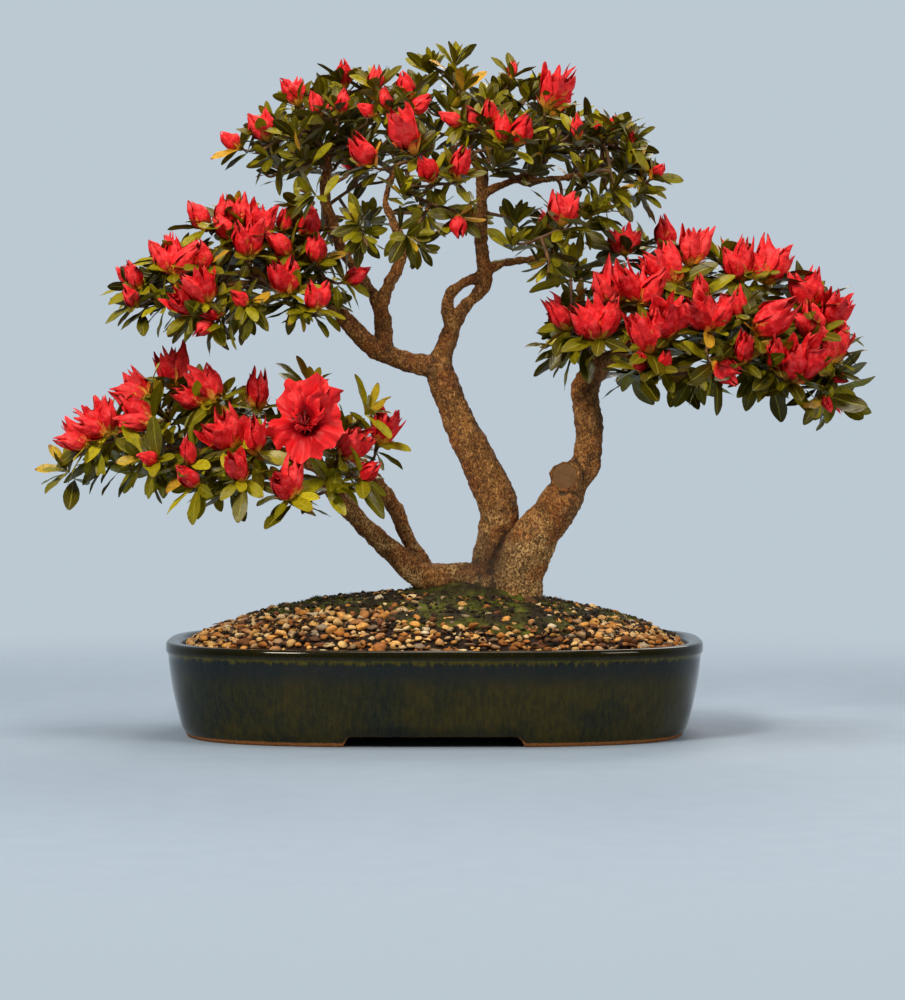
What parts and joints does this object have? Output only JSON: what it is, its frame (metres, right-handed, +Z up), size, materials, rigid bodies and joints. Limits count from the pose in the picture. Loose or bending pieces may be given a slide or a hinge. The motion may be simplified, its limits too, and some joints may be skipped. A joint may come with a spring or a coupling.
{
  "type": "flowering azalea bonsai tree in a glazed pot",
  "caption": "Red double-flowered azalea bonsai with three trunks and layered foliage pads, in an oval dark green glazed pot dressed with gravel.",
  "frame": {"origin": "on the surface that the pot stands on, under the middle of the plant's spread", "axes": "+X to the viewer's right along the longest side, +Y away from the viewer of the front, +Z up"},
  "size_m": [0.7345, 0.34, 0.6129],
  "materials": {
    "glazed_ceramic": "glossy dark green glaze",
    "screen_mesh": "matte",
    "soil": "rough crumbly earth",
    "gravel": "matte pebbles",
    "bark": "fine flaky bark",
    "leaves_and_twigs": "glossy leaves",
    "petals": "soft satin petals"
  },
  "bodies": {
    "root": {"drain_screen_left": "screen_mesh", "drain_screen_right": "screen_mesh", "flowers_crown_1": "petals", "flowers_crown_2": "petals", "flowers_crown_3": "petals", "flowers_crown_4": "petals", "flowers_low_1": "petals", "flowers_low_10": "petals", "flowers_low_11": "petals", "flowers_low_12": "petals", "flowers_low_2": "petals", "flowers_low_3": "petals", "flowers_low_4": "petals", "flowers_low_5": "petals", "flowers_low_6": "petals", "flowers_low_7": "petals", "flowers_low_8": "petals", "flowers_low_9": "petals", "flowers_middle_1": "petals", "flowers_middle_2": "petals", "flowers_middle_3": "petals", "flowers_middle_4": "petals", "flowers_right_1": "petals", "flowers_right_10": "petals", "flowers_right_11": "petals", "flowers_right_12": "petals", "flowers_right_13": "petals", "flowers_right_2": "petals", "flowers_right_3": "petals", "flowers_right_4": "petals", "flowers_right_5": "petals", "flowers_right_6": "petals", "flowers_right_7": "petals", "flowers_right_8": "petals", "flowers_right_9": "petals", "gravel": "gravel", "pot": "glazed_ceramic", "soil": "soil", "spray_crown_1": "leaves_and_twigs", "spray_crown_2": "leaves_and_twigs", "spray_crown_3": "leaves_and_twigs", "spray_crown_4": "leaves_and_twigs", "spray_crown_5": "leaves_and_twigs", "spray_crown_6": "leaves_and_twigs", "spray_crown_7": "leaves_and_twigs", "spray_crown_8": "leaves_and_twigs", "spray_low_1": "leaves_and_twigs", "spray_low_2": "leaves_and_twigs", "spray_low_3": "leaves_and_twigs", "spray_low_4": "leaves_and_twigs", "spray_middle_1": "leaves_and_twigs", "spray_middle_2": "leaves_and_twigs", "spray_middle_3": "leaves_and_twigs", "spray_middle_4": "leaves_and_twigs", "spray_right_1": "leaves_and_twigs", "spray_right_2": "leaves_and_twigs", "spray_right_3": "leaves_and_twigs", "spray_right_4": "leaves_and_twigs", "spray_right_5": "leaves_and_twigs", "trunk": "bark"}
  },
  "joints": []
}
